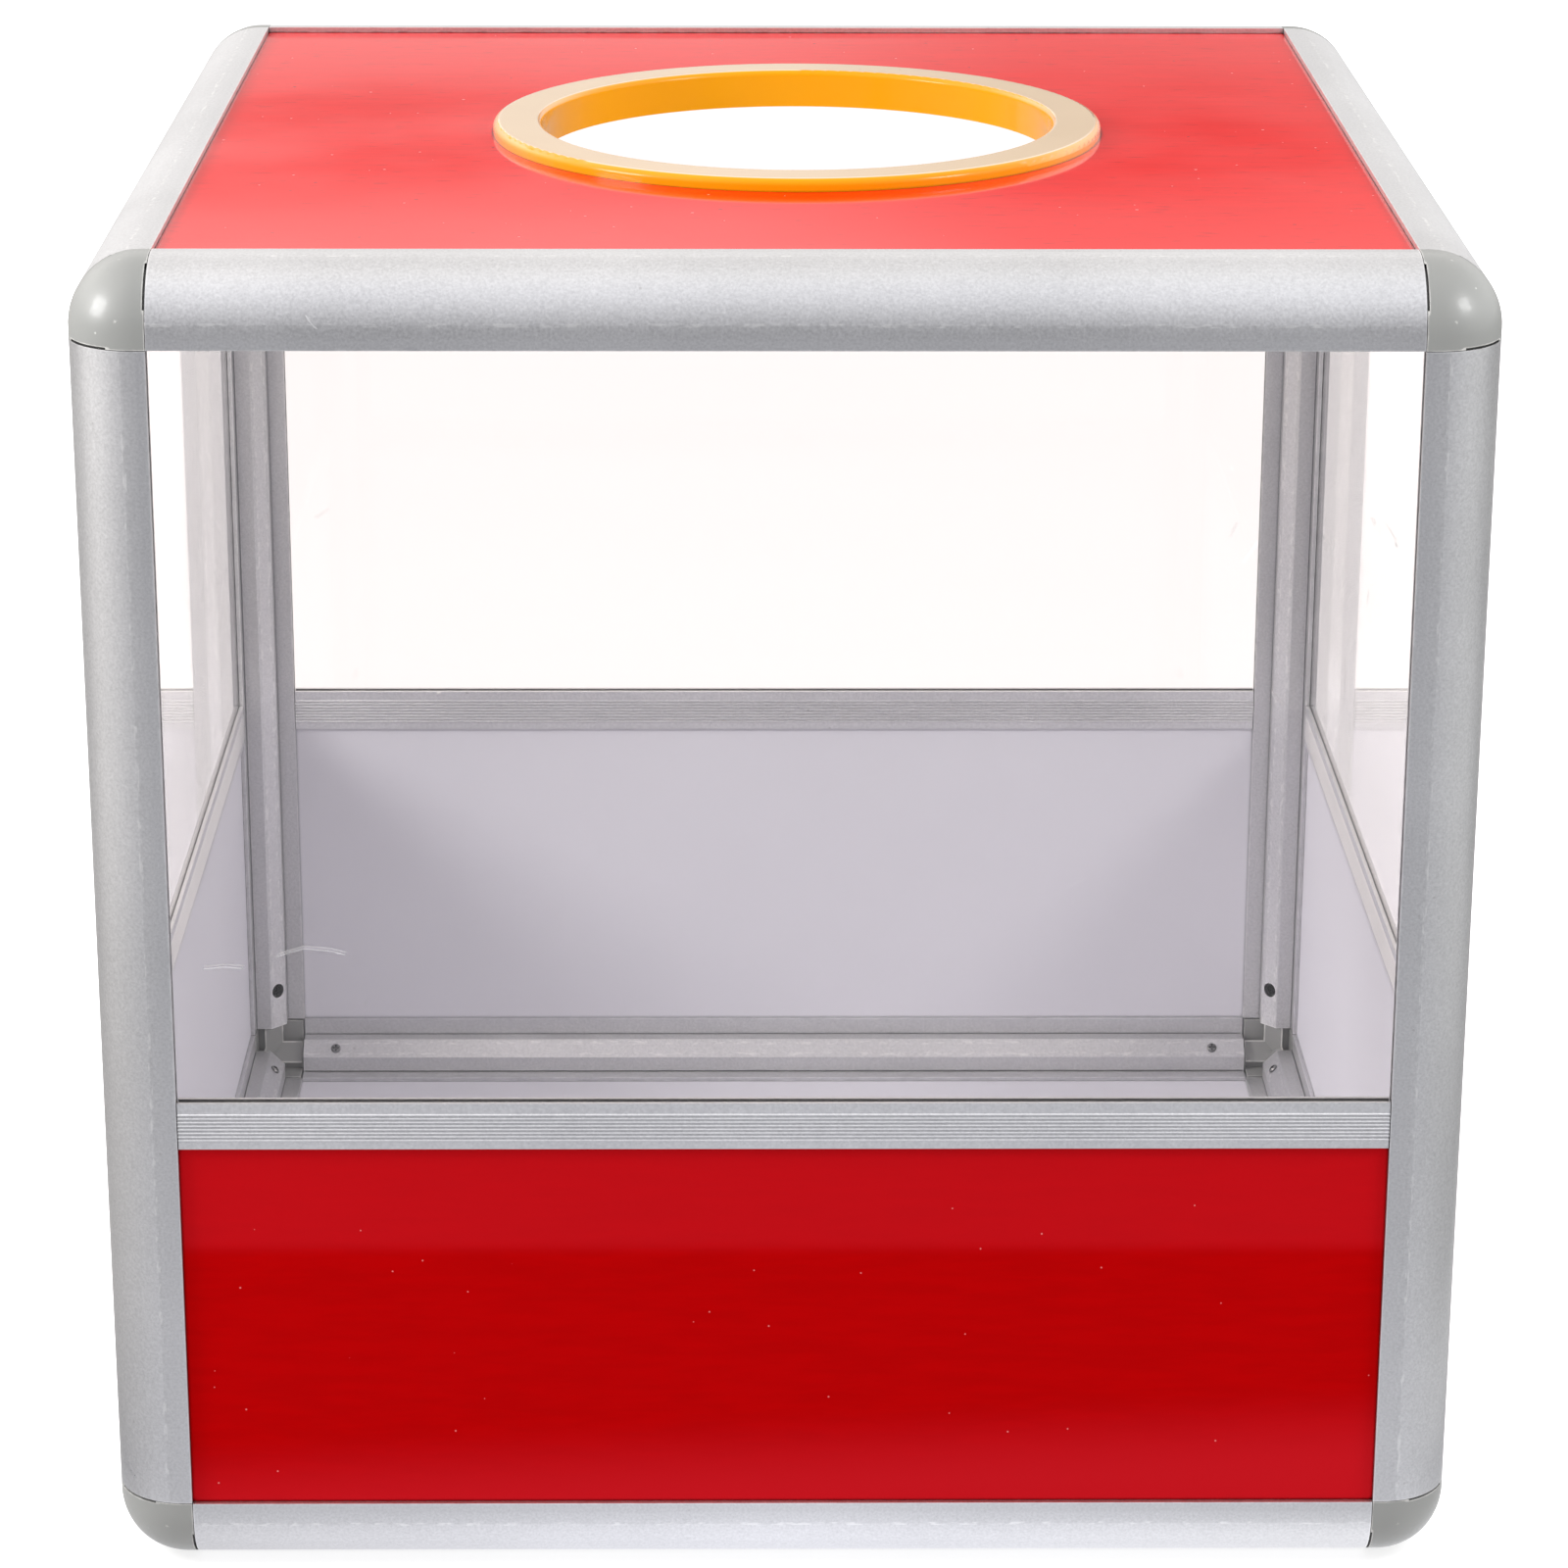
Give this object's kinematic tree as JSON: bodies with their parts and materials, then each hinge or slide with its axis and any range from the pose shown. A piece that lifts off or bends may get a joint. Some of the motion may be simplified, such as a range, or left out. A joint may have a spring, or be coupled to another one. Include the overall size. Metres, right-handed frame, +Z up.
{
  "type": "raffle box",
  "caption": "Clear-sided raffle box: aluminium edge bars, rounded plastic corners, red lower panels and a ringed hand hole in a red top.",
  "frame": {"origin": "middle of the footprint, on the surface that the box stands on", "axes": "+Z up, +X to the right and +Y to the back, seen from the front"},
  "size_m": [0.3, 0.3, 0.3015],
  "materials": {
    "aluminium": "satin anodised",
    "corner_plastic": "smooth grey moulding, half matt",
    "ring_plastic": "glossy moulding",
    "red_facing": "glossy red film",
    "white_board": "smooth white sheet",
    "clear_acrylic": "clear polished sheet",
    "dark_screw": "blackened steel",
    "bright_screw": "zinc plated"
  },
  "bodies": {
    "root": {"post_front_left": "aluminium", "post_front_right": "aluminium", "post_back_left": "aluminium", "post_back_right": "aluminium", "top_rail_front": "aluminium", "top_rail_right": "aluminium", "top_rail_back": "aluminium", "top_rail_left": "aluminium", "bottom_rail_front": "aluminium", "bottom_rail_right": "aluminium", "bottom_rail_back": "aluminium", "bottom_rail_left": "aluminium", "top_corner_front_left": "corner_plastic", "top_corner_front_right": "corner_plastic", "top_corner_back_left": "corner_plastic", "top_corner_back_right": "corner_plastic", "bottom_corner_front_left": "corner_plastic", "bottom_corner_front_right": "corner_plastic", "bottom_corner_back_left": "corner_plastic", "bottom_corner_back_right": "corner_plastic", "middle_rail_front": "aluminium", "middle_rail_right": "aluminium", "middle_rail_back": "aluminium", "middle_rail_left": "aluminium", "window_front": "clear_acrylic", "window_right": "clear_acrylic", "window_back": "clear_acrylic", "window_left": "clear_acrylic", "lower_board_front": "white_board", "lower_board_right": "white_board", "lower_board_back": "white_board", "lower_board_left": "white_board", "lower_facing_front": "red_facing", "lower_facing_right": "red_facing", "lower_facing_back": "red_facing", "lower_facing_left": "red_facing", "top_board": "white_board", "top_facing": "red_facing", "floor_board": "white_board", "hand_ring": "ring_plastic", "post_screws": "dark_screw", "top_rail_screws": "bright_screw", "bottom_rail_screws": "bright_screw"}
  },
  "joints": []
}
